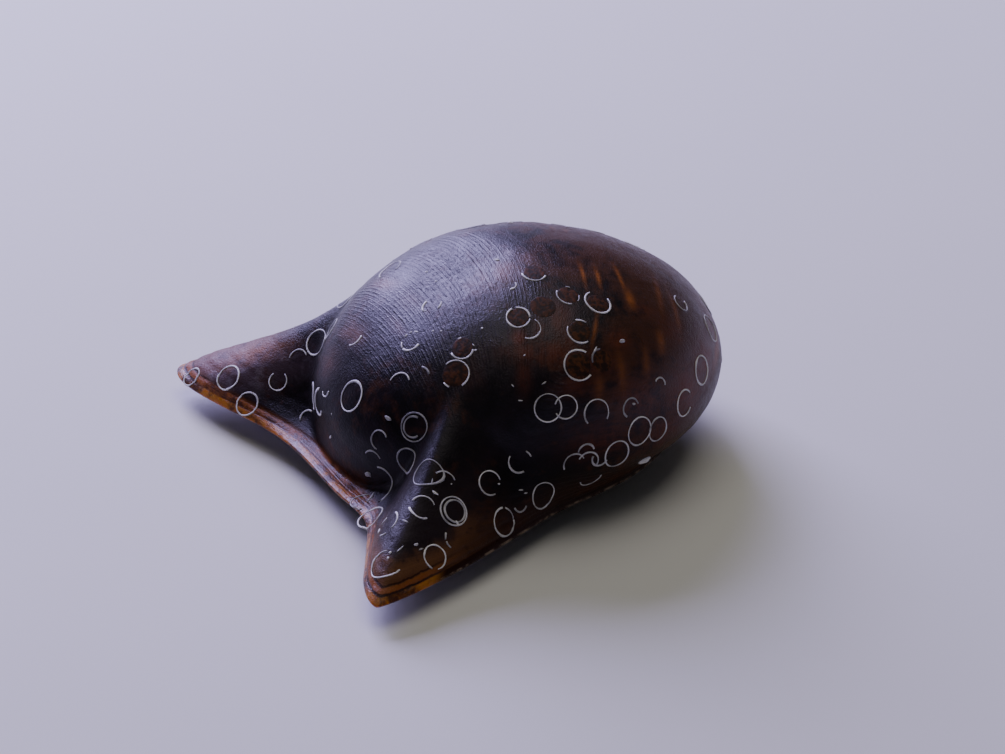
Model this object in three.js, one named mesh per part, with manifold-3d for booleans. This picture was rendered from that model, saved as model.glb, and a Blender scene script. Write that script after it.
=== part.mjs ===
// A bat nerite: a small freshwater snail with a domed shell and two wing-like horns at its front margin.
// Millimetres. The animal faces -Y, its left side is +X, up is +Z, and it stands on Z = 0.

import * as THREE from 'three';
import { mergeVertices } from 'three/addons/utils/BufferGeometryUtils.js';
import Module from 'manifold-3d';

const wasm = await Module();
wasm.setup();

// Driving sizes of the shell
const marginHeight = 1.0;      // top edge of the shell's margin above the floor
const marginArch = 0.14;       // how much higher it runs in the middle of the front
const crownY = 0.65;           // the crown stands a little behind the middle
const middleZ = 3.4;           // height where the dome is widest
const domeHalfWidth = 7.17;
const domeFront = 8.15;        // crown to the front of the dome
const domeRear = 9.59;         // crown to the back of the dome
const domeRise = 6.03;         // widest height up to the crown
const frontFullness = 1.55;    // the dome's profile: 2 is round, less is flatter and more is squarer
const lowFullness = 3.2;       // the same in front below the middle, where the wall is steep
const sideFullness = 2.13;
const rearFullness = 1.79;
const marginFront = 8.77;      // crown to the front margin
const marginSide = 6.01;
const marginRear = 7.45;
const domeSquareness = 2.17;   // from above: 2 is round and more is squarer, in front only
const frontSquareness = 3.6;   // the margin runs nearly straight across the front
const frontJoint = 108.3;      // degrees down from the crown where the dome turns into the margin
const sideJoint = 95;
const rearJoint = 97;
const rearLean = 0.11;         // the coil leans to the animal's right towards the back
const wall = 0.55;
const partingGap = 0.3;
const finestDetail = 0.012;    // slivers finer than this are cleared after a join or a cut

// The two wings differ a little: degrees from straight ahead to the crest, how far the tip stands out past
// the margin, where the wing leaves the dome, and the degrees over which it falls away in front and behind
const leftWing = { turn: 44.5, reach: 6.99, joint: 57.5, frontSpread: 10.2, rearSpread: 18.6 };
const rightWing = { turn: 45.2, reach: 6.74, joint: 58.5, frontSpread: 15, rearSpread: 17.6 };
const wingFrontFade = 1.72;    // how abruptly the fall begins, in front and behind
const wingRearFade = 1.1;
const crestRounding = 4;       // degrees over which the crest itself is rounded where it leaves the dome
const tipRounding = 1;         // and at the tip
const wingCut = 8.8;           // crown to the plane that parts a wing from the body whorl

// The aperture under the shell, and the flesh in it
const apertureCeiling = 3.6;
const footHeight = 1.4;
const footHalfWidth = 4.4;
const footFront = -5.0;
const footRear = 6.6;
const mantleThickness = 1.6;
const mantleHalfWidth = 5.0;
const mantleRear = 6.6;
const headHalfWidth = 2.3;
const headFront = -6.3;
const headRear = -3.5;
const headRise = 1.5;
const snoutHalfWidth = 1.5;
const snoutLength = 1.6;
const tentacleRoot = 0.34;     // radius where a tentacle leaves the head
const tentacleTip = 0.15;
const eyeRadius = 0.35;
const lidWidth = 5.0;
const lidLength = 3.0;
const lidThickness = 0.55;

// The apex of the coil, low and worn, behind and to the right of the crown
const spireTurn = -150;
const spireFall = 0.38;
const spireRadius = 1.45;
const spireHeight = 0.55;      // how far the apex stands out of the body whorl
const spireRoot = 0.9;         // and how deep it is set in

// Rings left on the shell by egg capsules: [turn, fall, width across], as they lie on the side that shows most
const ringRidge = 0.12;        // how far a ring stands out of the shell
const ringRoot = 0.25;
const ringHalfWidth = 0.12;
const ringSides = 8;
const ringPlaces = [
  [10, 0.45, 1.1], [-6, 0.51, 1.1], [43, 0.56, 1.2], [41, 0.37, 1.0], [22, 0.31, 1.0], [-30, 0.26, 1.1],
  [88, 0.12, 1.0], [66, 0.24, 1.0], [104, 0.2, 1.0], [117, 0.24, 1.1], [91, 0.39, 1.2], [75, 0.48, 1.1],
  [94, 0.5, 1.1], [34, 0.64, 1.1], [24, 0.72, 1.2], [45, 0.8, 1.1], [53, 0.84, 1.2], [57, 0.75, 1.0],
  [67, 0.68, 1.0], [74, 0.84, 1.1], [62, 0.91, 1.1], [50, 0.93, 1.0], [43, 0.93, 1.1], [38, 0.86, 1.0],
  [86, 0.65, 1.0], [101, 0.66, 1.1], [111, 0.58, 1.1], [131, 0.56, 1.1], [144, 0.5, 1.1], [158, 0.45, 1.1],
  [-37, 0.9, 1.0], [-36, 0.72, 1.0],
];
const farRings = 12;           // more of them on the far side, scattered
const scatterSeed = 7;

const degree = Math.PI / 180;
const domeShare = 0.6;         // share of the fall, from crown to margin, that lies on the dome

const blackShell = new THREE.MeshStandardMaterial({ color: 0x1d161a, roughness: 0.32, metalness: 0 });
const amberShell = new THREE.MeshStandardMaterial({ color: 0x5a3018, roughness: 0.38, metalness: 0 });
const wornShell = new THREE.MeshStandardMaterial({ color: 0x6b5346, roughness: 0.55, metalness: 0 });
const darkFlesh = new THREE.MeshStandardMaterial({ color: 0x4b4038, roughness: 0.5, metalness: 0 });
const paleFlesh = new THREE.MeshStandardMaterial({ color: 0x8d7b66, roughness: 0.55, metalness: 0 });
const eyeBlack = new THREE.MeshStandardMaterial({ color: 0x0a0a0c, roughness: 0.15, metalness: 0 });
const lidHorn = new THREE.MeshStandardMaterial({ color: 0x7a5a3e, roughness: 0.4, metalness: 0 });

function wingBeside(turn) {
  return turn > 0 ? leftWing : rightWing;
}

// How strongly a wing swells the shell at a turn, from 0 to 1
function wingSwell(turn, rounding) {
  const wing = wingBeside(turn);
  const away = Math.abs(turn) - wing.turn;
  if (away < 0) return Math.exp(-((-away / wing.frontSpread) ** wingFrontFade));
  return Math.exp(-(((Math.hypot(away, rounding) - rounding) / wing.rearSpread) ** wingRearFade));
}

// The reach of an oval in a direction, squarer in front where its squareness is over 2
function ovalReach(turn, side, front, rear, squareness = 2) {
  const ahead = Math.cos(turn * degree);
  const power = ahead > 0 ? squareness : 2;
  const lengthShare = Math.abs(ahead) / (ahead > 0 ? front : rear);
  const widthShare = Math.abs(Math.sin(turn * degree)) / side;
  return (widthShare ** power + lengthShare ** power) ** (-1 / power);
}

// A point of the dome's profile, at an angle down from the crown
function profilePoint(angle, domeReach, highFullness, lowerFullness) {
  const across = Math.sin(angle * degree);
  const above = Math.cos(angle * degree);
  const fullness = above > 0 ? highFullness : lowerFullness;
  const size = (Math.abs(across) ** fullness + Math.abs(above) ** fullness) ** (-1 / fullness);
  return new THREE.Vector2(domeReach * across * size, middleZ + domeRise * above * size);
}

// A point of the shell's outer face: turn goes round from straight ahead towards the left in degrees,
// fall goes from 0 at the crown to 1 at the margin
function shellPoint(givenTurn, fall) {
  const turn = THREE.MathUtils.euclideanModulo(givenTurn + 180, 360) - 180;
  const ahead = Math.cos(turn * degree);
  const wing = wingBeside(turn);
  const swell = wingSwell(turn, crestRounding);
  const frontShare = Math.max(ahead, 0) ** 2;
  const rearShare = Math.max(-ahead, 0) ** 2;
  const sideShare = 1 - frontShare - rearShare;
  const domeReach = ovalReach(turn, domeHalfWidth, domeFront, domeRear, domeSquareness);
  const plainReach = ovalReach(turn, marginSide, marginFront, marginRear, frontSquareness);
  const marginReach = plainReach + wing.reach * wingSwell(turn, tipRounding);
  const plainJoint = frontJoint * frontShare + sideJoint * sideShare + rearJoint * rearShare;
  const joint = THREE.MathUtils.lerp(plainJoint, wing.joint, swell);
  const fullness = frontFullness * frontShare + sideFullness * sideShare + rearFullness * rearShare;
  const form = [domeReach, fullness, THREE.MathUtils.lerp(fullness, lowFullness, frontShare)];
  let reach;
  let height;
  if (fall <= domeShare) {
    const share = fall / domeShare;
    const spot = profilePoint(share * THREE.MathUtils.lerp(90, joint, share), ...form);
    reach = spot.x;
    height = spot.y;
  } else {
    const start = profilePoint(joint, ...form);
    const leave = profilePoint(joint + 0.5, ...form).sub(start).normalize();
    const end = new THREE.Vector2(marginReach, marginHeight + marginArch * frontShare * (1 - swell));
    const flare = Math.max(frontShare, swell);
    const arrive = new THREE.Vector2(0.1 + 0.7 * flare, -1 + 0.4 * flare).normalize();
    const span = start.distanceTo(end);
    const first = start.clone().addScaledVector(leave, span * 0.4);
    const second = end.clone().addScaledVector(arrive, -span * 0.35);
    const slope = new THREE.CubicBezierCurve(start, first, second, end);
    const spot = slope.getPoint((fall - domeShare) / (1 - domeShare));
    reach = spot.x;
    height = spot.y;
  }
  const back = -reach * ahead;
  const lean = rearLean * back * THREE.MathUtils.clamp(back / 8, 0, 1);
  return new THREE.Vector3(reach * Math.sin(turn * degree) - lean, crownY + back, height);
}

// The outward direction of the shell's face, and the two directions along it
function shellFrame(turn, fall) {
  const step = 0.01;
  const low = Math.max(fall - step, step);
  const high = Math.min(fall + step, 1);
  const down = shellPoint(turn, high).sub(shellPoint(turn, low)).normalize();
  const round = shellPoint(turn + 0.5, Math.max(fall, step)).sub(shellPoint(turn - 0.5, Math.max(fall, step)));
  const out = down.clone().cross(round).normalize();
  return { out, down, across: out.clone().cross(down).normalize() };
}

function insidePoint(turn, fall, depth) {
  return shellPoint(turn, fall).addScaledVector(shellFrame(turn, fall).out, -depth);
}

// The fall at which the face that lies a wall's depth inside reaches a height
function fallAtHeight(turn, depth, height) {
  let high = 0.2;
  let low = 1;
  for (let pass = 0; pass < 30; pass += 1) {
    const middle = (high + low) / 2;
    if (insidePoint(turn, middle, depth).z > height) high = middle;
    else low = middle;
  }
  return (high + low) / 2;
}

// A closed skin over rows of points that run from one pole to the other
function closedSkin(firstPole, rows, lastPole) {
  const count = rows[0].length;
  const points = [firstPole, ...rows.flat(), lastPole];
  const last = points.length - 1;
  const at = (row, place) => 1 + row * count + (place % count);
  const faces = [];
  for (let place = 0; place < count; place += 1) {
    faces.push(0, at(0, place), at(0, place + 1));
    faces.push(last, at(rows.length - 1, place + 1), at(rows.length - 1, place));
  }
  for (let row = 0; row < rows.length - 1; row += 1) {
    for (let place = 0; place < count; place += 1) {
      faces.push(at(row, place), at(row + 1, place), at(row + 1, place + 1));
      faces.push(at(row, place), at(row + 1, place + 1), at(row, place + 1));
    }
  }
  const geometry = new THREE.BufferGeometry().setFromPoints(points);
  geometry.setIndex(faces);
  return geometry;
}

function toSolid(geometry) {
  const bare = geometry.clone();
  bare.deleteAttribute('normal');
  bare.deleteAttribute('uv');
  const merged = mergeVertices(bare, 1e-5);
  const vertProperties = new Float32Array(merged.attributes.position.array);
  const triVerts = new Uint32Array(merged.index.array);
  const solid = new wasm.Manifold(new wasm.Mesh({ numProp: 3, vertProperties, triVerts }));
  return solid;
}

// The geometry of a solid's largest closed surface
function toGeometry(solid) {
  const largest = solid.decompose().reduce((best, piece) => (piece.volume() > best.volume() ? piece : best));
  const { vertProperties, triVerts } = largest.simplify(finestDetail).getMesh();
  const geometry = new THREE.BufferGeometry();
  geometry.setAttribute('position', new THREE.BufferAttribute(vertProperties, 3));
  geometry.setIndex(new THREE.BufferAttribute(triVerts, 1));
  geometry.computeVertexNormals();
  return geometry;
}

// Turns round the shell, closer together over the wings
function shellTurns() {
  const turns = [];
  let turn = -180;
  while (turn < 179.9) {
    turns.push(turn);
    const nearWing = Math.abs(Math.abs(turn) - wingBeside(turn).turn) < 20;
    turn += nearWing ? 3.6 : 7.2;
  }
  return turns;
}

// The whole shell in one piece: the outer face, the rounded margin and the aperture under it
function wholeShell() {
  const turns = shellTurns();
  const rows = [];
  const domeRows = 11;
  const slopeRows = 8;
  for (let row = 1; row <= domeRows; row += 1) {
    rows.push(turns.map((turn) => shellPoint(turn, domeShare * row / domeRows)));
  }
  for (let row = 1; row <= slopeRows; row += 1) {
    rows.push(turns.map((turn) => shellPoint(turn, domeShare + (1 - domeShare) * row / slopeRows)));
  }
  rows.push(turns.map((turn) => {
    const { out, down } = shellFrame(turn, 1);
    return shellPoint(turn, 1).addScaledVector(out, -wall / 2).addScaledVector(down, wall / 4);
  }));
  const insideRows = 5;
  for (let row = 0; row <= insideRows; row += 1) {
    rows.push(turns.map((turn) => {
      const top = fallAtHeight(turn, wall, apertureCeiling);
      return insidePoint(turn, THREE.MathUtils.lerp(1, top, row / insideRows), wall);
    }));
  }
  const crown = new THREE.Vector3(0, crownY, middleZ + domeRise);
  return closedSkin(crown, rows, new THREE.Vector3(0, crownY, apertureCeiling));
}

// The place on the shell straight below or above a point, found from a place near it
function placeUnder(point, nearTurn, nearFall) {
  const step = 0.01;
  let turn = nearTurn;
  let fall = nearFall;
  for (let pass = 0; pass < 8; pass += 1) {
    const here = shellPoint(turn, fall);
    const round = shellPoint(turn + step, fall).sub(here).divideScalar(step);
    const down = shellPoint(turn, fall - step).sub(here).divideScalar(-step);
    const miss = point.clone().sub(here);
    const slant = round.dot(down);
    const area = round.lengthSq() * down.lengthSq() - slant * slant;
    turn += (miss.dot(round) * down.lengthSq() - miss.dot(down) * slant) / area;
    fall += (miss.dot(down) * round.lengthSq() - miss.dot(round) * slant) / area;
    fall = THREE.MathUtils.clamp(fall, 2 * step, 0.99);
  }
  return [turn, fall];
}

// A closed ring of ridge that follows the shell's face, three-sided, with its root sunk in
function ringRidgeSolid([turn, fall, width]) {
  const middle = shellPoint(turn, fall);
  const frame = shellFrame(turn, fall);
  const points = [];
  for (let side = 0; side < ringSides; side += 1) {
    const angle = 2 * Math.PI * side / ringSides;
    const flat = middle.clone().addScaledVector(frame.across, Math.cos(angle) * width / 2);
    flat.addScaledVector(frame.down, Math.sin(angle) * width / 2);
    const place = placeUnder(flat, turn, fall);
    const spot = shellPoint(...place);
    const { out } = shellFrame(...place);
    const away = spot.clone().sub(middle).projectOnPlane(out).normalize();
    points.push(spot.clone().addScaledVector(out, ringRidge));
    points.push(spot.clone().addScaledVector(out, -ringRoot).addScaledVector(away, -ringHalfWidth));
    points.push(spot.clone().addScaledVector(out, -ringRoot).addScaledVector(away, ringHalfWidth));
  }
  const faces = [];
  for (let side = 0; side < ringSides; side += 1) {
    for (let corner = 0; corner < 3; corner += 1) {
      const here = side * 3 + corner;
      const beside = side * 3 + (corner + 1) % 3;
      const next = (here + 3) % points.length;
      const nextBeside = (beside + 3) % points.length;
      faces.push(here, next, nextBeside, here, nextBeside, beside);
    }
  }
  const geometry = new THREE.BufferGeometry().setFromPoints(points);
  geometry.setIndex(faces);
  const ring = toSolid(geometry);
  if (ring.volume() > 0) return ring;
  geometry.setIndex(faces.reverse());
  return toSolid(geometry);
}

// A small repeatable source of random numbers between 0 and 1
function scatterFrom(seed) {
  let state = seed;
  return () => {
    state = (state * 16807) % 2147483647;
    return state / 2147483647;
  };
}

// Rings scattered over the far side, kept clear of each other, of the apex and of the wings' parting planes
function farRingPlaces() {
  const draw = scatterFrom(scatterSeed);
  const places = [];
  const apart = 1.6;
  const spireSpot = shellPoint(spireTurn, spireFall);
  while (places.length < farRings) {
    const place = [-175 + 155 * draw(), 0.2 + 0.72 * draw(), 0.95 + 0.25 * draw()];
    const spot = shellPoint(place[0], place[1]);
    const clear = places.every(([turn, fall]) => shellPoint(turn, fall).distanceTo(spot) > apart);
    if (clear && spot.distanceTo(spireSpot) > spireRadius + apart / 2) places.push(place);
  }
  return places;
}

// A thin upright slab that parts a wing from the body whorl; side is 1 on the left and -1 on the right
function partingSlab(side) {
  const slabWidth = 16;
  const slab = new THREE.BoxGeometry(slabWidth, partingGap, 24);
  const angle = side * wingBeside(side).turn * degree;
  slab.rotateZ(angle);
  slab.translate(wingCut * Math.sin(angle), crownY - wingCut * Math.cos(angle), 0);
  return toSolid(slab);
}

// The worn apex: two low whorls round a small tip, with its axis square to the shell's face
function spireSolid(grown) {
  const r = spireRadius + grown;
  const h = spireHeight + grown;
  const profile = [
    [0, -spireRoot - grown], [0.8 * r, -spireRoot - grown], [r, -0.2], [0.97 * r, 0.15 * h], [0.8 * r, 0.5 * h],
    [0.62 * r, 0.56 * h], [0.58 * r, 0.74 * h], [0.42 * r, 0.84 * h], [0.34 * r, 0.86 * h], [0.28 * r, 0.98 * h],
    [0.12 * r, 1.04 * h], [0, 1.05 * h],
  ];
  const nub = new THREE.LatheGeometry(profile.map(([x, y]) => new THREE.Vector2(Math.max(x, 0), y)), 20);
  const { out } = shellFrame(spireTurn, spireFall);
  nub.applyQuaternion(new THREE.Quaternion().setFromUnitVectors(new THREE.Vector3(0, 1, 0), out));
  const spot = shellPoint(spireTurn, spireFall);
  nub.translate(spot.x, spot.y, spot.z);
  return toSolid(nub);
}

// A low pad with an oval plan: levels are [height, share of the plan], from the bottom up
function padSolid(centre, reachAt, levels, count = 28) {
  const rows = [...levels].reverse().map(([height, share]) => {
    const row = [];
    for (let place = 0; place < count; place += 1) {
      const turn = -180 + 360 * place / count;
      const reach = share * reachAt(turn);
      const spot = new THREE.Vector3(reach * Math.sin(turn * degree), -reach * Math.cos(turn * degree), height);
      row.push(spot.add(centre));
    }
    return row;
  });
  const top = centre.clone().setZ(centre.z + levels[levels.length - 1][0]);
  const bottom = centre.clone().setZ(centre.z + levels[0][0]);
  return toSolid(closedSkin(top, rows, bottom));
}

function blobSolid(centre, radii, across = 20, along = 12) {
  const blob = new THREE.SphereGeometry(1, across, along);
  blob.scale(...radii);
  blob.translate(...centre);
  return toSolid(blob);
}

function blockSolid(low, high) {
  const block = new THREE.BoxGeometry(high[0] - low[0], high[1] - low[1], high[2] - low[2]);
  block.translate((low[0] + high[0]) / 2, (low[1] + high[1]) / 2, (low[2] + high[2]) / 2);
  return toSolid(block);
}

// A round tube that tapers along a curve, closed at both ends
function taperSolid(curve, rootRadius, tipRadius, sides = 8, steps = 12) {
  const rows = [];
  const frames = curve.computeFrenetFrames(steps, false);
  for (let step = 0; step <= steps; step += 1) {
    const share = step / steps;
    const radius = THREE.MathUtils.lerp(rootRadius, tipRadius, share ** 0.8);
    const spot = curve.getPointAt(share);
    const row = [];
    for (let side = 0; side < sides; side += 1) {
      const angle = 2 * Math.PI * side / sides;
      const corner = spot.clone().addScaledVector(frames.normals[step], radius * Math.cos(angle));
      row.push(corner.addScaledVector(frames.binormals[step], radius * Math.sin(angle)));
    }
    rows.push(row);
  }
  const tipCap = frames.tangents[steps].clone().multiplyScalar(tipRadius).add(curve.getPointAt(1));
  const geometry = closedSkin(curve.getPointAt(0), rows, tipCap);
  const tube = toSolid(geometry);
  if (tube.volume() > 0) return tube;
  geometry.setIndex([...geometry.index.array].reverse());
  return toSolid(geometry);
}

// The foot: a broad creeping sole, blunt in front and rounded behind
const footMiddle = (footFront + footRear) / 2;
const footHalfLength = (footRear - footFront) / 2;

function footSolid() {
  const reachAt = (turn) => ovalReach(turn, footHalfWidth, footHalfLength, footHalfLength, 3);
  const levels = [[0, 0.93], [0.15, 0.99], [0.45, 1], [0.95, 0.95], [footHeight, 0.82]];
  return padSolid(new THREE.Vector3(0, footMiddle, 0), reachAt, levels);
}

// The lid carried on the back of the foot: a half moon, straight in front
function lidSolid(grown) {
  const outline = new THREE.Shape();
  const half = lidWidth / 2 + grown;
  const front = footRear - lidLength - grown;
  outline.moveTo(-half, front);
  outline.lineTo(half, front);
  const back = front + 1.4 * (lidLength + 2 * grown);
  outline.bezierCurveTo(half, back, -half, back, -half, front);
  const plate = new THREE.ExtrudeGeometry(outline, {
    depth: lidThickness + grown * 2,
    bevelEnabled: false,
    curveSegments: 12,
  });
  plate.translate(0, 0, footHeight + partingGap - grown);
  return toSolid(plate);
}

// The mantle fills the aperture above the foot, behind the head, with room for the lid
function mantleSolid() {
  const low = footHeight + partingGap;
  const front = headRear + partingGap;
  const middle = 1.2;
  const reachAt = (turn) => ovalReach(turn, mantleHalfWidth, 7, mantleRear - middle);
  const levels = [[low, 0.94], [low + 0.3, 1], [low + mantleThickness - 0.3, 1], [low + mantleThickness, 0.94]];
  const pad = padSolid(new THREE.Vector3(0, middle, 0), reachAt, levels, 36);
  const ahead = blockSolid([-9, -9, 0], [9, front, 6]);
  return pad.subtract(ahead).subtract(lidSolid(partingGap));
}

// The head lies over the front of the foot, flat under the shell
function headSolid() {
  const low = footHeight + partingGap;
  const middle = headRear - 0.9;
  const reachAt = (turn) => ovalReach(turn, headHalfWidth, middle - headFront, 2, 2.6);
  const levels = [[low, 0.86], [low + 0.3, 0.98], [low + 0.75, 1], [low + 1.2, 0.88], [low + headRise, 0.6]];
  const pad = padSolid(new THREE.Vector3(0, middle, 0), reachAt, levels, 24);
  const stalks = [-1, 1].map((side) => blobSolid([side * 2.2, -5.0, low + 0.6], [0.45, 0.4, 0.36], 10, 6));
  const behind = blockSolid([-9, headRear, 0], [9, 9, 6]);
  return stalks.reduce((whole, stalk) => whole.add(stalk), pad).subtract(behind);
}

// The snout hangs in front of the foot, with two lips round the line of the mouth
function snoutSolid() {
  const middle = [0, footFront - partingGap - snoutLength / 2, 0.9];
  const lipFront = middle[1] - snoutLength / 2 + 0.1;
  const muzzle = blobSolid(middle, [snoutHalfWidth, snoutLength / 2, 0.6], 16, 10);
  const upperLip = blobSolid([0, lipFront + 0.03, 0.82], [0.62, 0.17, 0.15], 10, 6);
  const lowerLip = blobSolid([0, lipFront + 0.07, 0.52], [0.5, 0.16, 0.13], 10, 6);
  const mouth = blobSolid([0, lipFront - 0.02, 0.67], [0.5, 0.32, 0.06], 10, 4);
  const above = blockSolid([-9, -12, footHeight], [9, 9, 6]);
  return muzzle.add(upperLip).add(lowerLip).subtract(mouth).subtract(above);
}

// Each tentacle bends out from the head and lies under the margin towards its wing
function tentacleCurve(side) {
  return new THREE.CatmullRomCurve3([
    new THREE.Vector3(side * 1.9, -5.6, 1.1),
    new THREE.Vector3(side * 2.8, -6.2, 0.85),
    new THREE.Vector3(side * 3.9, -6.5, 0.7),
    new THREE.Vector3(side * 5.0, -6.55, 0.7),
    new THREE.Vector3(side * 6.1, -6.4, 0.8),
  ]);
}

const rings = [...ringPlaces, ...farRingPlaces()].map(ringRidgeSolid);
const ringedShell = rings.reduce((whole, ring) => whole.add(ring), toSolid(wholeShell()));
const pocketedShell = ringedShell.subtract(spireSolid(partingGap));
const shellPieces = pocketedShell.subtract(partingSlab(1)).subtract(partingSlab(-1)).decompose();
const wingSpan = 7;

function shellPiece(test) {
  const fitting = shellPieces.filter((piece) => test(piece.boundingBox()));
  return fitting.reduce((best, piece) => (piece.volume() > best.volume() ? piece : best));
}

const snail = new THREE.Group();

function addPiece(name, solid, material) {
  const mesh = new THREE.Mesh(toGeometry(solid), material);
  mesh.name = name;
  snail.add(mesh);
}

addPiece('shell_body_whorl', shellPiece((box) => box.max[1] > 0), blackShell);
addPiece('shell_wing_left', shellPiece((box) => box.max[0] > wingSpan && box.max[1] < 0), amberShell);
addPiece('shell_wing_right', shellPiece((box) => box.min[0] < -wingSpan && box.max[1] < 0), amberShell);
addPiece('shell_spire', spireSolid(0), wornShell);
addPiece('operculum', lidSolid(0), lidHorn);
addPiece('foot', footSolid(), paleFlesh);
addPiece('mantle', mantleSolid(), darkFlesh);
addPiece('head', headSolid(), darkFlesh);
addPiece('snout', snoutSolid(), darkFlesh);
for (const [name, side] of [['left', 1], ['right', -1]]) {
  const eyeSpot = [side * (headHalfWidth + 0.35 + partingGap + eyeRadius), -5.0, footHeight + partingGap + 0.6];
  addPiece(`tentacle_${name}`, taperSolid(tentacleCurve(side), tentacleRoot, tentacleTip), darkFlesh);
  addPiece(`eye_${name}`, blobSolid(eyeSpot, [eyeRadius, eyeRadius, eyeRadius], 12, 8), eyeBlack);
}

export default snail;
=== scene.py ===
import math
import random

import bmesh
import bpy
import numpy as np
from mathutils import Matrix, Vector, noise
from mathutils.bvhtree import BVHTree


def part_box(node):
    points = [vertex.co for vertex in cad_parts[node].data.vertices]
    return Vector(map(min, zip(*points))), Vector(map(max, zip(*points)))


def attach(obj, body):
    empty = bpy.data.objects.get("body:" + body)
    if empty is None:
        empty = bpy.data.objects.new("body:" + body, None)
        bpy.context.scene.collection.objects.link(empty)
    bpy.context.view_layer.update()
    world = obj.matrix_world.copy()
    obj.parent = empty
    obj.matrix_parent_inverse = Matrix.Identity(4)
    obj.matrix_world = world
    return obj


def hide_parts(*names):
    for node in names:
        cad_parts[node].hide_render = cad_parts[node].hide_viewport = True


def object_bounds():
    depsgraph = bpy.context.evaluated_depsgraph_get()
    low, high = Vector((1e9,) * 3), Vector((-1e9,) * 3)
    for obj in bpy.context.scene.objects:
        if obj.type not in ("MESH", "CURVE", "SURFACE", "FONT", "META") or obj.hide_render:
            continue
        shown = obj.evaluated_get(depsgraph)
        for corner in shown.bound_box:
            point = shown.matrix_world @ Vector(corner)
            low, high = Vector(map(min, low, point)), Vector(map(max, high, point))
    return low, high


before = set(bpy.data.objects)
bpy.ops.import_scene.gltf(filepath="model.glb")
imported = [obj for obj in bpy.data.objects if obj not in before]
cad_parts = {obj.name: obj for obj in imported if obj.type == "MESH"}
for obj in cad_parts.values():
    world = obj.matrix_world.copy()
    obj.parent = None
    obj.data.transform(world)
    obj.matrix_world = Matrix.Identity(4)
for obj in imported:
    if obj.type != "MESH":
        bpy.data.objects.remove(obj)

# A bat nerite snail, in millimetres until a piece is finished. It faces -Y and its left side is +X.
mm = 0.001
cadLow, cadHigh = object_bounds()
scene = bpy.context.scene


# A value in a material, on which arithmetic adds Math nodes
class Val:
    def __init__(self, paint, socket):
        self.paint, self.socket = paint, socket

    def __add__(self, other):
        return self.paint.maths("ADD", self, other)

    __radd__ = __add__

    def __sub__(self, other):
        return self.paint.maths("SUBTRACT", self, other)

    def __rsub__(self, other):
        return self.paint.maths("SUBTRACT", other, self)

    def __mul__(self, other):
        return self.paint.maths("MULTIPLY", self, other)

    __rmul__ = __mul__

    def __pow__(self, other):
        return self.paint.maths("POWER", self, other)

    # 0 at the first level, 1 at the second and smooth between them
    def step(self, zeroAt, oneAt):
        low, high = sorted((zeroAt, oneAt))
        sockets = {"Value": self, "From Min": low, "From Max": high}
        sockets.update({"To Min": float(low == oneAt), "To Max": float(high == oneAt)})
        return self.paint.node("MapRange", {"interpolation_type": "SMOOTHSTEP"}, sockets)

    # 1 between the two middle levels, 0 outside the outer ones
    def band(self, start, low, high, end):
        return self.step(start, low) * self.step(end, high)

    # A share that doesn't fall below this
    def atLeast(self, least):
        return least + self * (1 - least)

    # A pattern that swings to both sides of 0
    def swing(self, size):
        return (self - 0.5) * size

    # The first colour at 0, the second at 1
    def blend(self, first, second):
        return self.paint.node("Mix", {"data_type": "RGBA"}, {0: self, 6: first, 7: second}, 2)


class Paint:
    def __init__(self, name):
        self.material = bpy.data.materials.new(name)
        self.material.use_nodes = True
        self.tree = self.material.node_tree
        self.tree.nodes.clear()
        # The place on the piece in millimetres
        spot = self.node("TexCoord", out="Object")
        self.place = self.node("VectorMath", {"operation": "SCALE"}, {0: spot, "Scale": 1 / mm})

    # One node: its type, its settings, the values or links of its sockets, the output that is wanted
    def node(self, kind, settings=None, sockets=None, out=0):
        made = self.tree.nodes.new("ShaderNode" + kind)
        for name, value in (settings or {}).items():
            setattr(made, name, value)
        for name, value in (sockets or {}).items():
            if isinstance(value, Val):
                self.tree.links.new(value.socket, made.inputs[name])
            else:
                made.inputs[name].default_value = value
        return Val(self, made.outputs[out] if made.outputs else None)

    def maths(self, operation, *values):
        return self.node("Math", {"operation": operation}, dict(enumerate(values)))

    def attribute(self, name):
        return self.node("Attribute", {"attribute_name": name}, out="Fac")

    def part(self, axis):
        return self.node("SeparateXYZ", {}, {0: self.place}, axis)

    def join(self, x, y, z):
        return self.node("CombineXYZ", {}, {0: x, 1: y, 2: z})

    def cloud(self, size, detail=3.0, roughness=0.55, distortion=0.0, at=None):
        sockets = {"Vector": at or self.place, "Scale": 1 / size, "Detail": detail}
        sockets.update({"Roughness": roughness, "Distortion": distortion})
        return self.node("TexNoise", {}, sockets)

    def ripple(self, value, size, detail=2.0, roughness=0.6):
        sockets = {"W": value, "Scale": 1 / size, "Detail": detail, "Roughness": roughness}
        return self.node("TexNoise", {"noise_dimensions": "1D"}, sockets)

    # A height in millimetres
    def bump(self, height):
        return self.node("Bump", {}, {"Height": height, "Distance": mm})

    def shader(self, sockets):
        return self.node("BsdfPrincipled", {}, sockets)

    def finish(self, shader):
        self.node("OutputMaterial", {}, {"Surface": shader})
        return self.material

    # A material with one shader
    def plain(self, colour, roughness, height=None, others=None):
        sockets = {"Base Color": colour, "Roughness": roughness, **(others or {})}
        if height:
            sockets["Normal"] = self.bump(height)
        return self.finish(self.shader(sockets))


# A colour given as a screen shows it, 0 to 255
def tone(red, green, blue):
    levels = [level / 255 for level in (red, green, blue)]
    bright = [((level + 0.055) / 1.055) ** 2.4 if level > 0.04 else level / 12.92 for level in levels]
    return (*bright, 1.0)


def addObject(name, data):
    made = bpy.data.objects.new(name, data)
    scene.collection.objects.link(made)
    return made


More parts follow.
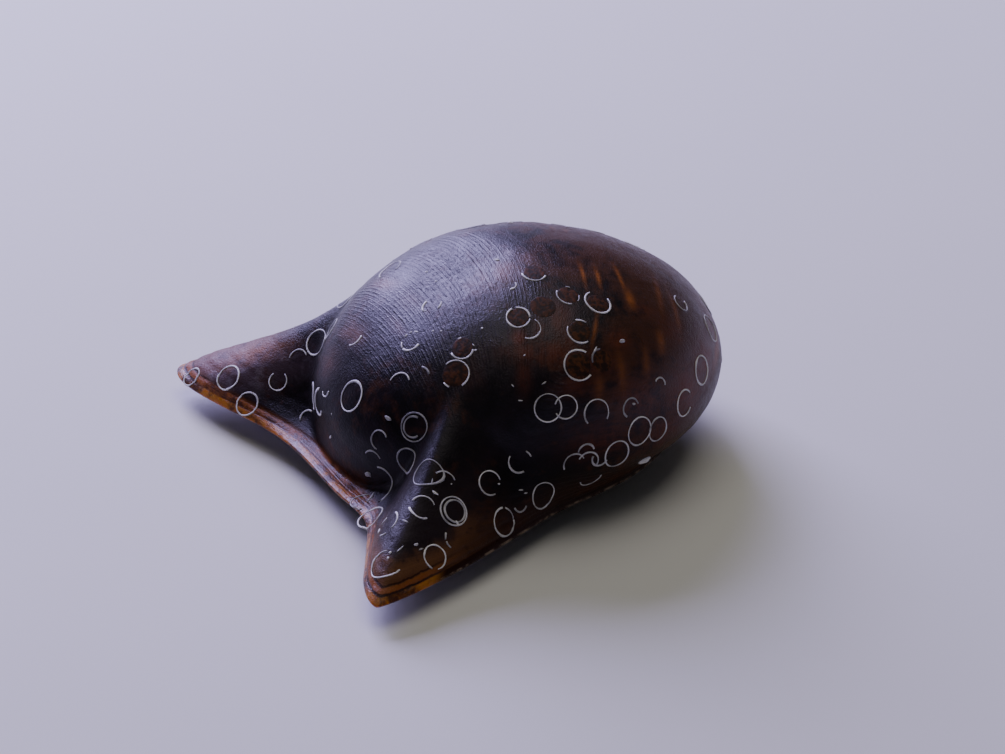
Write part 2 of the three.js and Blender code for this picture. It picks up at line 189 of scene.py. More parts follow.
# The camera, as the photo's stood
view = {
    "azimuth": 64.125,
    "elevation": 28.851,
    "roll": 1.2245,
    "target": Vector((0, -0.417, 4.0)),
    "distance": 220,
    "focal": 5390,  # in pixels
    "middle": (487.36, 371.3),  # where the target falls in the picture
    "width": 1005,
    "height": 754,
    "sensor": 36,
    "clip": (0.01, 20),
}


# Its axes: to the right, up and back
def viewAxes():
    a, e, roll = (math.radians(view[key]) for key in ("azimuth", "elevation", "roll"))
    back = Vector((math.sin(a) * math.cos(e), -math.cos(a) * math.cos(e), math.sin(e)))
    level = Vector((math.cos(a), math.sin(a), 0))
    upright = back.cross(level)
    right = level * math.cos(roll) + upright * math.sin(roll)
    up = upright * math.cos(roll) - level * math.sin(roll)
    return right, up, back


def makeCamera():
    axes = viewAxes()
    lens = bpy.data.cameras.new("camera")
    lens.sensor_width = view["sensor"]
    lens.lens = view["focal"] * view["sensor"] / view["width"]
    lens.shift_x = (view["width"] / 2 - view["middle"][0]) / view["width"]
    lens.shift_y = (view["middle"][1] - view["height"] / 2) / view["width"]
    lens.clip_start, lens.clip_end = view["clip"]
    camera = addObject("camera", lens)
    camera.matrix_world = Matrix(axes).transposed().to_4x4()
    camera.location = (view["target"] + axes[2] * view["distance"]) * mm
    scene.camera = camera


# The ray from the camera through a pixel of the photo
def pixelRay(x, y):
    right, up, back = viewAxes()
    eye = view["target"] + back * view["distance"]
    across, above = x - view["middle"][0], view["middle"][1] - y
    return eye, (right * across + up * above - back * view["focal"]).normalized()


makeCamera()
print("camera made")


# Brings a piece made in millimetres into the frame
def addPiece(name, mesh, material, replaced=()):
    mesh.transform(Matrix.Scale(mm, 4))
    mesh.shade_smooth()
    mesh.materials.append(material)
    piece = addObject(name, mesh)
    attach(piece, "root")
    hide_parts(*replaced)
    print(name, len(mesh.polygons), "faces")


def toMesh(name, bm):
    mesh = bpy.data.meshes.new(name)
    bm.to_mesh(mesh)
    bm.free()
    return mesh


# The shell: a dome that runs down into a flared margin, with a wing at each front corner
shell = {
    "crownY": 0.65,
    "widestZ": 3.4,
    "marginZ": 1.0,
    # seen from above: half width, reach in front and at the rear, and squareness in front, 2 being round
    "dome": (7.17, 8.15, 9.59, 2.17),
    "margin": (6.01, 8.77, 7.45, 3.6),
    "marginArch": 0.14,  # how much higher it runs in front
    # in front, at the sides and at the rear
    "fullness": (1.55, 2.13, 1.79),  # of the dome's profile: 2 is round, less is flatter
    "joint": (108.3, 95, 97),  # degrees down from the crown where the dome ends
    "fullLow": 3.2,  # the fullness in front, below the widest height
    "domeShare": 0.6,  # share of the way from crown to margin that lies on the dome
    "leaving": 0.4,  # share of the slope that keeps the dome's direction
    "arriving": 0.35,  # share that has the margin's
    "arrival": (0.1, -1),  # direction outward and up at the margin's sides
    "flareAdds": (0.7, 0.4),  # what is added in front and at the wings
    "lean": 0.11,  # of the rear, to the animal's right
    "leanFrom": 8,
    "wall": 0.55,
    "lipWall": 0.24,
    "lipDrop": 0.08,
    "lipWidth": 0.8,
    "ceiling": 3.6,
}
shell["domeRise"] = cadHigh.z / mm - shell["widestZ"]
# The wings differ a little, the left from the right
wings = {
    "turn": (44.5, 45.2),  # degrees from straight ahead to the crest
    "reach": (6.99, 6.74),  # how far the tip stands out past the margin
    "joint": (57.5, 58.5),  # where the wing leaves the dome
    "ahead": (10.2, 15.0),  # degrees over which it falls away in front
    "behind": (18.6, 17.6),  # and behind
    "fadeAhead": 1.72,  # how abruptly the fall begins
    "fadeBehind": 1.1,
    "crestRounding": 4,  # degrees, where the crest leaves the dome
    "tipRounding": 1,
}
# Rows and columns of the skin
skinGrid = {
    "turns": 360,
    "frontShare": 0.32,  # share of the columns that lie ahead of the crest
    "closeness": 0.45,  # spacing at the crest against the mean
    "outer": 150,
    "lip": 12,
    "inner": 54,
    "ceiling": 20,
}
# The worn coil, low at the back on the animal's right
apex = {
    "turn": -150,
    "fall": 0.38,
    "radius": 1.5,
    "height": 0.2,
    "capShare": 0.72,
    "groove": 0.13,
    "grooveWidth": 0.12,
    "firstCoil": 0.55,
    "coil": 0.17,
    "worn": 2.0,
}
# The lines of growth, on the shell rolled out flat round its crown
growthLines = {
    "swing": 2.3,  # how soon their middle swings from the apex to the middle line
    "squareness": 6,  # they run straight across and turn sharply at the line of the wings
    "widening": 0.3,
    "bow": (0.07, -0.014),  # how they bend forward to the sides, first and last
    "bowFrom": 3,
    "spreadBy": 0.85,  # the fall at which they follow the margin
}


def unit(arrow):
    return arrow / np.linalg.norm(arrow, axis=-1, keepdims=True)


def mixed(low, high, share):
    return low + (high - low) * share


def smoothStep(value, low, high):
    share = np.clip((value - low) / (high - low), 0, 1)
    return share * share * (3 - 2 * share)


# A value of the wing on this side
def ofWing(key, turn):
    left, right = wings[key]
    return np.where(turn > 0, left, right)


# How strongly a wing swells the shell at a turn, from 0 to 1
def wingSwell(turn, rounding):
    away = np.abs(turn) - ofWing("turn", turn)
    ahead = np.exp(-(np.maximum(-away, 0) / ofWing("ahead", turn)) ** wings["fadeAhead"])
    away = np.hypot(np.maximum(away, 0), rounding) - rounding
    return ahead * np.exp(-(away / ofWing("behind", turn)) ** wings["fadeBehind"])


def ovalReach(turn, side, front, rear, squareness):
    ahead = np.cos(np.radians(turn))
    across = np.abs(np.sin(np.radians(turn)))
    power = np.where(ahead > 0, squareness, 2)
    length = np.where(ahead > 0, front, rear)
    return ((across / side) ** power + (np.abs(ahead) / length) ** power) ** (-1 / power)


# Points of the dome's profile, at an angle down from the crown
def profilePoint(angle, reach, fullHigh, fullLow):
    across, above = np.sin(np.radians(angle)), np.cos(np.radians(angle))
    fullness = np.where(above > 0, fullHigh, fullLow)
    size = (np.abs(across) ** fullness + np.abs(above) ** fullness) ** (-1 / fullness)
    return np.stack([reach * across * size, shell["widestZ"] + shell["domeRise"] * above * size], -1)


# A value between those of the front, the sides and the rear
def allRound(key, shares):
    return sum(value * share for value, share in zip(shell[key], shares))


# Points of the outer face. The turn starts straight ahead and goes to the left, and the fall is 0
# at the crown and 1 at the margin
def facePoint(turn, fall):
    turn = (turn + 180) % 360 - 180
    ahead = np.cos(np.radians(turn))
    wing = wingSwell(turn, wings["crestRounding"])
    front, rear = np.maximum(ahead, 0) ** 2, np.maximum(-ahead, 0) ** 2
    shares = (front, 1 - front - rear, rear)
    dome, margin = ovalReach(turn, *shell["dome"]), ovalReach(turn, *shell["margin"])
    margin = margin + ofWing("reach", turn) * wingSwell(turn, wings["tipRounding"])
    joint = mixed(allRound("joint", shares), ofWing("joint", turn), wing)
    fullness = allRound("fullness", shares)
    form = (dome, fullness, mixed(fullness, shell["fullLow"], front))
    domeShare = shell["domeShare"]
    share = np.clip(fall / domeShare, 0, 1)
    onDome = profilePoint(share * mixed(90, joint, share), *form)
    start = profilePoint(joint, *form)
    leave = unit(profilePoint(joint + 0.5, *form) - start)
    end = np.stack([margin, shell["marginZ"] + shell["marginArch"] * front * (1 - wing)], -1)
    flare = np.maximum(front, wing)[..., None]
    arrive = unit(np.array(shell["arrival"]) + np.array(shell["flareAdds"]) * flare)
    span = np.linalg.norm(end - start, axis=-1, keepdims=True)
    first = start + leave * span * shell["leaving"]
    second = end - arrive * span * shell["arriving"]
    t = np.clip((fall - domeShare) / (1 - domeShare), 0, 1)[..., None]
    onSlope = start * (1 - t) ** 3 + 3 * first * t * (1 - t) ** 2
    onSlope = onSlope + 3 * second * t ** 2 * (1 - t) + end * t ** 3
    spot = np.where((fall <= domeShare)[..., None], onDome, onSlope)
    back = -spot[..., 0] * ahead
    leaning = shell["lean"] * back * np.clip(back / shell["leanFrom"], 0, 1)
    x = spot[..., 0] * np.sin(np.radians(turn)) - leaning
    return np.stack([x, shell["crownY"] + back, spot[..., 1]], -1)


# The outward direction of the face, and the direction down it
def faceAxes(turn, fall):
    step = 0.01
    low = np.clip(fall - step, step, 1 - step)
    high = np.minimum(low + 2 * step, 1)
    down = unit(facePoint(turn, high) - facePoint(turn, low))
    level = np.maximum(fall, step)
    out = unit(np.cross(down, facePoint(turn + 0.5, level) - facePoint(turn - 0.5, level)))
    return out, down


# Turns round the shell, closer together over the wings
def gridTurns():
    half = skinGrid["turns"] // 2
    front = round(half * skinGrid["frontShare"])
    close = skinGrid["closeness"]
    near = np.linspace(1, 0, front, endpoint=False)
    crest = wings["turn"][0]
    near = crest * (1 - mixed(near * near, near, close))
    far = np.linspace(0, 1, half - front, endpoint=False)
    far = crest + (180 - crest) * mixed(far * far, far, close)
    left = np.concatenate([near, far])
    return np.concatenate([left, [180], -left[:0:-1]])


# Where growth has got to at each place, in millimetres along the middle line. The lines are squared ovals
# that start at the apex, and below the dome they spread until the last is the margin
def growthField(turns, spread):
    angle = np.radians(turns)
    flat = spread[..., None] * np.stack([np.sin(angle), np.cos(angle)], -1)
    coil, side, rear = (int(np.argmin(np.abs(turns - turn))) for turn in (apex["turn"], 90, 180))
    origin = flat[round(apex["fall"] * skinGrid["outer"]), coil]
    front, side, rear = spread[-1, [0, side, rear]]
    low, high = np.zeros_like(spread), np.full_like(spread, 2.0)
    for _ in range(36):
        grown = (low + high) / 2
        left = np.maximum(1 - grown, 0)
        centre = np.stack([origin[0] * left ** growthLines["swing"], origin[1] * left], -1)
        offset = flat - centre
        across = np.abs(offset[..., 0])
        bow = mixed(*growthLines["bow"], grown) * smoothStep(offset[..., 1], 0, growthLines["bowFrom"])
        ahead = offset[..., 1] - bow * across ** 2
        power = np.where(ahead > 0, growthLines["squareness"], 2)
        length = np.where(ahead > 0, front, rear) * grown
        width = side * grown ** growthLines["widening"]
        inside = (across / width) ** power + (np.abs(ahead) / length) ** power < 1
        low, high = np.where(inside, low, grown), np.where(inside, grown, high)
    joint = round(shell["domeShare"] * skinGrid["outer"])
    onward = (spread - spread[joint]) / (spread[-1] - spread[joint])
    byMargin = grown[joint] + (1 - grown[joint]) * onward
    falls = np.linspace(0, 1, skinGrid["outer"] + 1)[:, None]
    grown = mixed(grown, byMargin, smoothStep(falls, shell["domeShare"], growthLines["spreadBy"]))
    around = np.arctan2(offset[..., 1], offset[..., 0])
    fromApex = np.linalg.norm(flat - origin, axis=-1)
    coilAngle = np.arctan2(origin[1] - flat[..., 1], flat[..., 0] - origin[0])
    return grown * (front + abs(origin[1])), around, fromApex, coilAngle


# How fast growth runs over the face, in millimetres a millimetre
def growthPace(face, spread, grown):
    downward = np.gradient(grown, axis=0) / np.gradient(spread, axis=0)
    width = np.linalg.norm(np.roll(face, -1, 1) - np.roll(face, 1, 1), axis=-1)
    sideways = (np.roll(grown, -1, 1) - np.roll(grown, 1, 1)) / np.maximum(width, 0.02)
    return np.hypot(downward, sideways)


# Relief of the outer face: stops in growth, the worn coil at the apex, and the wings' layered edge
relief = {
    "seed": 11,
    "firstStop": 0.6,
    "stopGap": (0.5, 1.5),
    "stopDepth": (0.003, 0.014),
    "stopFade": 0.3,
    "deepening": 1.6,  # towards the margin
    "edgeLayers": [(0.5, 0.1, 0.12), (0.95, 0.06, 0.14), (1.7, 0.04, 0.2)],  # inset, depth, fade
    "layersAlong": 0.15,  # share of their depth away from the wings
    "waves": [(0.33, 0.05), (1.1, 0.015)],  # how many a millimetre, height
    "sink": 0.03,
}


def shellRelief(spots, wing, grown, toMargin, fromApex, coilAngle):
    draw = random.Random(relief["seed"])
    stops = [relief["firstStop"]]
    depths = [draw.uniform(*relief["stopDepth"])]
    while stops[-1] < grown.max() + 1:
        stops.append(stops[-1] + draw.uniform(*relief["stopGap"]))
        depths.append(draw.uniform(*relief["stopDepth"]))
    stops, depths = np.array(stops), np.array(depths)
    bands = np.clip(np.searchsorted(stops, grown) - 1, 0, len(stops) - 1)
    since = np.maximum(grown - stops[bands], 0)
    deeper = 1 + relief["deepening"] * smoothStep(grown, grown.max() * 0.6, grown.max())
    height = -depths[bands] * np.exp(-since / relief["stopFade"]) * deeper
    for inset, depth, fade in relief["edgeLayers"]:
        since = np.maximum(inset - toMargin, 0)
        under = (toMargin < inset) * np.exp(-since / fade)
        height = height - depth * under * np.clip(relief["layersAlong"] + wing, 0, 1)
    near = np.exp(-(fromApex / apex["radius"]) ** 4)
    cap = apex["height"] * np.exp(-(fromApex / (apex["capShare"] * apex["radius"])) ** 2)
    for lap in range(-3, 3):
        coil = apex["firstCoil"] * np.exp(apex["coil"] * (-coilAngle + 2 * math.pi * lap))
        cap = cap - apex["groove"] * np.exp(-((fromApex - coil) / apex["grooveWidth"]) ** 2) * near
    height = height + cap - relief["sink"]
    for rate, size in relief["waves"]:
        wave = [noise.noise(Vector(spot) * rate) for spot in spots.reshape(-1, 3)]
        height = height + size * np.array(wave).reshape(grown.shape)
    return height


# The points of the shell in rows, down the outer face, round the lip, up the inner face
# and over the ceiling, with what is known at each place of the outer face
def shellRows():
    turns = gridTurns()
    falls = np.linspace(0, 1, skinGrid["outer"] + 1)
    turnGrid, fallGrid = np.meshgrid(turns, falls)
    face = facePoint(turnGrid, fallGrid)
    out, down = faceAxes(turnGrid, fallGrid)
    out[0] = (0, 0, 1)
    lengths = np.linalg.norm(np.diff(face, axis=0), axis=-1)
    spread = np.vstack([np.zeros((1, len(turns))), np.cumsum(lengths, 0)])
    toMargin = spread[-1] - spread
    grown, around, fromApex, coilAngle = growthField(turns, spread)
    wing = np.broadcast_to(wingSwell(turns, wings["tipRounding"]), grown.shape)
    height = shellRelief(face, wing, grown, toMargin, fromApex, coilAngle)
    height[0] = height[0].mean()
    drawnIn = shell["lipDrop"] * np.clip(1 - toMargin / shell["lipWidth"], 0, 1)
    rows = list(face + out * height[..., None] - down * drawnIn[..., None])

    outside, inside = rows[-1], face[-1] - out[-1] * shell["lipWall"] - down[-1] * shell["lipDrop"]
    for place in range(1, skinGrid["lip"]):
        angle = math.pi * place / skinGrid["lip"]
        middle = mixed(outside, inside, (1 - math.cos(angle)) / 2)
        rows.append(middle + down[-1] * shell["lipDrop"] * math.sin(angle))

    ceilingFall = fallAtHeight(turns)
    for place in range(skinGrid["inner"] + 1):
        share = place / skinGrid["inner"]
        level = mixed(np.ones_like(turns), ceilingFall, share)
        depth = mixed(shell["lipWall"], shell["wall"], min(1, 4 * share))
        innerOut, innerDown = faceAxes(turns, level)
        drawn = shell["lipDrop"] * max(0, 1 - 4 * share)
        rows.append(facePoint(turns, level) - innerOut * depth - innerDown * drawn)
    rim = rows[-1]
    middle = np.array([0, shell["crownY"], shell["ceiling"]])
    for place in range(1, skinGrid["ceiling"] + 1):
        rows.append(mixed(rim, middle, place / skinGrid["ceiling"]))

    fields = {
        "growth": grown,
        "pace": growthPace(face, spread, grown),
        "edge": toMargin,
        "wing": wing,
        "behind": np.broadcast_to(np.abs(turns) - ofWing("turn", turns), grown.shape),
        "worn": np.exp(-(fromApex / apex["worn"]) ** 2),
        "aroundX": np.cos(around),
        "aroundY": np.sin(around),
    }
    return np.array(rows), fields


def pointsOf(mesh):
    flat = np.zeros(len(mesh.vertices) * 3)
    mesh.vertices.foreach_get("co", flat)
    return flat.reshape(-1, 3)


def setField(mesh, name, values):
    mesh.attributes.new(name, "FLOAT", "POINT").data.foreach_set("value", values.astype(np.float32))


def smoothVerts(bm, verts, times):
    for _ in range(times):
        bmesh.ops.smooth_vert(bm, verts=verts, factor=0.5, use_axis_x=True, use_axis_y=True, use_axis_z=True)


# Lays a grid of faces on the rows and welds it where it meets itself
def shellMesh():
    grid, fields = shellRows()
    columns, last = grid.shape[1], len(grid) - 1
    bm = bmesh.new()
    bmesh.ops.create_grid(bm, x_segments=columns, y_segments=last, size=1)
    mesh = toMesh("shell_skin", bm)
    flat = pointsOf(mesh)
    column = np.rint((flat[:, 0] + 1) / 2 * columns).astype(int) % columns
    row = np.rint((1 - flat[:, 1]) / 2 * last).astype(int)
    mesh.vertices.foreach_set("co", grid[row, column].ravel())
    outerRow = np.minimum(row, skinGrid["outer"])
    rounding = (row - skinGrid["outer"]) / skinGrid["lip"]
    known = {name: values[outerRow, column] for name, values in fields.items()}
    known["outside"] = np.clip(1.5 - 2 * rounding, 0, 1)
    for name, values in known.items():
        setField(mesh, name, values)
    mesh.attributes.new("row", "INT", "POINT").data.foreach_set("value", row.astype(np.int32))

    bm = bmesh.new()
    bm.from_mesh(mesh)
    bmesh.ops.remove_doubles(bm, verts=[v for v in bm.verts if v.is_boundary], dist=0.0005)
    bmesh.ops.recalc_face_normals(bm, faces=bm.faces)
    rowLayer = bm.verts.layers.int["row"]
    ceilingStart = skinGrid["outer"] + skinGrid["lip"] + 8
    smoothVerts(bm, [v for v in bm.verts if v[rowLayer] > ceilingStart], 12)
    bm.verts.layers.int.remove(rowLayer)
    bm.to_mesh(mesh)
    tree = BVHTree.FromBMesh(bm)
    bm.free()
    return mesh, tree


# The fall at which the inner face reaches the ceiling
def fallAtHeight(turns):
    high, low = np.full_like(turns, 0.2), np.ones_like(turns)
    for _ in range(30):
        middle = (high + low) / 2
        out, _ = faceAxes(turns, middle)
        above = (facePoint(turns, middle) - out * shell["wall"])[..., 2] > shell["ceiling"]
        high, low = np.where(above, middle, high), np.where(above, low, middle)
    return (high + low) / 2


# Marks in the shell: the pixel, half length along the lines of growth, half width across them and strength.
# A flame also has its slant in the photo, anticlockwise from the right
marks = {
    "flames": [
        (583, 274, 0.6, 0.07, 0.8, -76), (598, 277, 0.55, 0.08, 0.75, -76), (620, 278, 0.7, 0.08, 0.6, -70),
        (630, 299, 0.45, 0.2, 0.7, -76), (595, 329, 0.7, 0.08, 0.55, 80), (661, 341, 0.5, 0.2, 0.4, -85),
        (659, 295, 0.9, 0.14, 0.3, -80), (622, 373, 0.8, 0.2, 0.25, -85), (646, 362, 0.6, 0.2, 0.3, -85),
        (600, 388, 0.5, 0.2, 0.25, 85), (717, 352, 1, 0.3, 0.4, 80), (676, 312, 0.9, 0.14, 0.3, -78),
    ],
    "rust": [
        (544, 352, 0.5, 1.7, 0.75), (519, 338, 0.4, 0.35, 0.9), (600, 362, 0.6, 0.4, 0.8),
        (618, 340, 0.5, 0.4, 0.8), (689, 391, 1.3, 1, 0.9), (640, 400, 1.2, 0.8, 0.5),
        (706, 360, 1.4, 0.9, 1), (672, 330, 0.8, 0.6, 0.5), (560, 318, 0.9, 0.5, 0.6),
        (645, 310, 0.7, 0.4, 0.4), (600, 440, 1.4, 0.8, 0.5), (665, 430, 1, 0.6, 0.6),
        (575, 385, 0.9, 0.5, 0.5), (470, 372, 0.8, 0.5, 0.2), (712, 325, 1.4, 0.7, 0.9),
        (524, 372, 0.8, 0.3, 0.5), (540, 335, 1, 0.3, 0.6), (570, 345, 1, 0.35, 0.5),
        (700, 300, 1.2, 0.5, 0.6),
    ],
    # painted sheen: pinkish-brown patches on the top and front of the dome, where the light's sheen lies
    "paintedSheen": [
        (486, 281, 0.7, 0.7, 0.7), (503, 272, 0.7, 0.8, 0.9), (520, 263, 0.7, 0.8, 0.5),
        (383, 283, 0.9, 0.35, 0.9), (352, 332, 1, 0.5, 0.8), (397, 326, 0.8, 0.2, 0.5),
        (328, 362, 0.8, 0.6, 0.4), (410, 300, 0.8, 0.4, 0.3),
    ],
}


# The place on the shell and the direction out for each entry that starts with a pixel, and the entry
def onPixels(tree, entries):
    for entry in entries:
        spot, out, _, _ = tree.ray_cast(*pixelRay(*entry[:2]))
        if spot is None:
            print("an entry misses the shell", entry)
        else:
            yield spot, out, *entry


def markField(tree, spots, grown, places):
    field = np.zeros(len(spots))
    right, up, back = viewAxes()
    for spot, out, _, _, along, across, strength, *slant in onPixels(tree, places):
        away = spots - np.array(spot)
        near = np.linalg.norm(away, axis=1) < 0.8
        onward = np.linalg.lstsq(away[near], grown[near] - grown[near].mean(), rcond=None)[0]
        for angle in slant:
            streak = right * math.cos(math.radians(angle)) + up * math.sin(math.radians(angle))
            onward = np.array(out.cross(streak - back * (streak.dot(out) / back.dot(out))))
        onward = unit(onward - np.array(out) * onward.dot(out))
        line = np.cross(out, onward)
        reach = (away @ line / along) ** 2 + (away @ onward / across) ** 2
        reach = reach + (away @ np.array(out) / 1.5) ** 2
        field = np.maximum(field, strength * np.exp(-reach))
    return field


def shellSkin(material):
    mesh, tree = shellMesh()
    spots = pointsOf(mesh)
    grown = np.zeros(len(spots))
    mesh.attributes["growth"].data.foreach_get("value", grown)
    for name, places in marks.items():
        setField(mesh, name, markField(tree, spots, grown, places))
    replaced = ("shell_body_whorl", "shell_wing_left", "shell_wing_right", "shell_spire")
    addPiece("shell_skin", mesh, material, replaced)
    return tree


shellLook = {
    "black": tone(15, 10, 13),
    "plum": tone(30, 19, 25),
    "brown": tone(72, 40, 21),
    "rust": tone(104, 48, 24),
    "flame": tone(182, 104, 36),
    # painted sheen, pinkish brown
    "paintedSheen": tone(124, 88, 78),
    "worn": tone(142, 122, 112),
    "wingSlate": tone(44, 36, 40),
    "wingBrown": tone(112, 76, 50),
    "wingPurple": tone(86, 68, 76),
    "milky": tone(134, 122, 132),
    "wingPink": tone(130, 94, 90),
    "crest": tone(154, 98, 60),
    "amber": tone(144, 82, 30),
    "amberDark": tone(76, 40, 18),
    "lip": tone(170, 110, 34),
    "lipDark": tone(40, 18, 12),
    # painted glint along the lip's edge
    "paintedGlint": tone(170, 150, 130),
    "inner": tone(150, 140, 150),
    "lineGap": 0.18,  # between the fine lines of growth
    "ridge": 0.012,  # heights
    "thread": 0.022,
    "band": 0.006,
    "grain": 0.016,
    "pit": 0.014,
    "roughness": 0.38,
    "shine": 0.4,
    "dullShine": 0.12,
    "shineTint": (0.9, 0.85, 1.0, 1.0),
}


def shellMaterial():
    paint = Paint("shell")
    look = shellLook
    known = ("growth", "edge", "wing", "behind", "pace", "worn", "outside", "aroundX", "aroundY")
    grown, edge, wing, behind, pace, worn, outside, aroundX, aroundY = map(paint.attribute, known)
    flames, rust, paintedSheen = map(paint.attribute, marks)
    x, y, z = map(paint.part, "XYZ")

    # Places: the wings, the strip along the margin between them, their tips, the back
    onWing = wing.step(0.3, 0.8) * edge.step(6.5, 3)
    front = behind.step(2, -8)
    tip = wing.step(0.6, 0.88)
    rearward = y.step(-2, 7)

    # Lines of growth: fine ridges whose spacing drifts, threads and bands, clear on top and in front
    bent = grown + paint.cloud(1.3, 1).swing(0.1)
    drift = paint.ripple(bent, 1.4, 1) * 6
    ridges = (paint.maths("SINE", bent * (2 * math.pi / look["lineGap"]) + drift) * 0.5 + 0.5) ** 4
    threads = paint.ripple(bent, 0.1, 4, 0.75)
    bands = paint.ripple(bent + 31, 0.8, 3, 0.6)
    cells = paint.join(aroundX * 30, aroundY * 30, grown * 5)
    broken = paint.cloud(1, 3, 0.6, at=cells).step(0.36, 0.6)
    clear = (1 - pace.step(1.5, 4)) * y.step(1.5, -1).atLeast(0.12) * z.step(4.4, 7).atLeast(0.12)
    clear = clear * paint.cloud(2.4, 2).step(0.3, 0.55) * (1 - onWing)

    # Streaks that follow the lines, and mottling that doesn't
    streaks = paint.cloud(1, 4, 0.6, 0.3, paint.join(aroundX * 5, aroundY * 5, grown * 2.6))
    patches = paint.cloud(2.6, 4, 0.6, 0.6)
    mottle = paint.cloud(0.5, 4, 0.65)
    blotches = paint.cloud(1.2, 4, 0.6, 0.4)
    grains = paint.cloud(0.07, 2, 0.6)
    pits = paint.cloud(0.28, 3, 0.7)

    plumShare = paint.cloud(1.3, 4, 0.65).step(0.42, 0.7)
    brownShare = (patches * 0.5 + mottle * 0.35 + streaks * 0.15 + rearward * 0.2).step(0.5, 0.68)
    uneven = (streaks * 0.5 + mottle * 0.5).step(0.36, 0.58)
    farFlames = (streaks + patches.swing(0.6)).step(0.6, 0.72) * rearward * x.step(0, -4)
    # The tip of the coil is worn down to paler layers
    wornShare = (worn + mottle.swing(0.7)).step(0.55, 0.8)

    # The near wing goes from dark grey to brown towards its edge. The far one is purple-grey
    # with milky patches, orange along its crest and pinkish at its tip
    nearTone = (edge + blotches.swing(2.4)).step(2.6, 1.2).blend(look["wingSlate"], look["wingBrown"])
    farTone = (blotches.step(0.5, 0.62) * 0.6).blend(look["wingPurple"], look["milky"])
    crestTone = x.step(-6.8, -8.4).blend(look["crest"], look["wingPink"])
    farTone = (behind + mottle.swing(8)).step(-9, -4).blend(farTone, crestTone)
    wingTone = x.step(1, -4).blend(nearTone, farTone)
    wingTone = (mottle.step(0.52, 0.64) * 0.45).blend(wingTone, look["plum"])

    # The strip in front, and the lower sides
    amberTone = (mottle * 0.6 + threads * 0.4).step(0.44, 0.58).blend(look["amberDark"], look["amber"])
    amberShare = (edge + mottle.swing(0.5)).step(1.15, 0.7) * front
    sideShare = (edge + patches.swing(2)).step(2, 0.4) * (1 - front)

    # The lip: clear layers with dark edges at the wings' tips, golden in front, dark brown at the sides,
    # with a painted glint along the very edge at the sides
    gold = paint.maths("MAXIMUM", front, tip).step(0.25, 0.75)
    frayed = edge + mottle.swing(0.3)
    layers = frayed.band(0.46, 0.54, 0.76, 0.86) * tip
    edges = (frayed.band(0.82, 0.88, 0.92, 0.98) + frayed.band(0.34, 0.4, 0.48, 0.54)) * tip
    lipShare = (edge + mottle.swing(0.12)).step(0.4, 0.32)
    lipTone = (blotches + mottle.swing(0.6)).step(0.4, 0.62).blend(look["lip"], look["amberDark"])
    lipTone = gold.blend(look["lipDark"], lipTone)
    # painted glint: a thin pale line along the margin at the sides
    glintShare = edge.step(0.1, 0.04) * (1 - gold) * mottle.step(0.42, 0.6)
    inside = 1 - outside

    # Coats of colour, one over another
    coats = [
        (plumShare * 0.8, look["plum"]),
        (brownShare * 0.85, look["brown"]),
        (rust * uneven.atLeast(0.35), look["rust"]),
        (flames * uneven.atLeast(0.75) + farFlames * 0.4, look["flame"]),
        # painted sheen in pinkish brown over the top and front of the dome
        (paintedSheen * (0.3 + uneven * 0.6), look["paintedSheen"]),
        (wornShare * 0.8, look["worn"]),
        (onWing * 0.9, wingTone),
        (amberShare * 0.9, amberTone),
        (sideShare * 0.45, look["brown"]),
        (threads.step(0.55, 0.35) * 0.15, look["black"]),
        (layers * 0.8, look["amber"]),
        (edges * 0.85, look["lipDark"]),
        (lipShare, lipTone),
        (glintShare * 0.6, look["paintedGlint"]),
        (inside, look["inner"]),
    ]
    colour = look["black"]
    for share, coat in coats:
        colour = share.blend(colour, coat)

    lines = ridges * broken.atLeast(0.25) * look["ridge"] + threads * broken.atLeast(0.5) * look["thread"]
    height = lines * clear + bands * look["band"] + grains * look["grain"] + pits * look["pit"]
    shine = {
        "Base Color": colour,
        "Roughness": look["roughness"] + pits.swing(0.25) + mottle.swing(0.2) - lipShare * 0.06,
        "Normal": paint.bump(height * (1 - inside)),
        "Specular IOR Level": look["shine"],
        "Specular Tint": look["shineTint"],
    }
    dull = paint.shader({**shine, "Specular IOR Level": look["dullShine"]})
    unlit = paint.maths("MAXIMUM", z.step(5.6, 3.6), y.step(-4, -6.5))
    body = paint.node("MixShader", {}, {0: unlit, 1: paint.shader(shine), 2: dull})
    clearBody = paint.shader({
        **shine,
        "Subsurface Weight": 0.7,
        "Subsurface Radius": (1, 0.45, 0.15),
        "Subsurface Scale": 0.4 * mm,
    })
    return paint.finish(paint.node("MixShader", {}, {0: edge.step(1.1, 0.1) * gold, 1: body, 2: clearBody}))


shellTree = shellSkin(shellMaterial())
print("shell made")
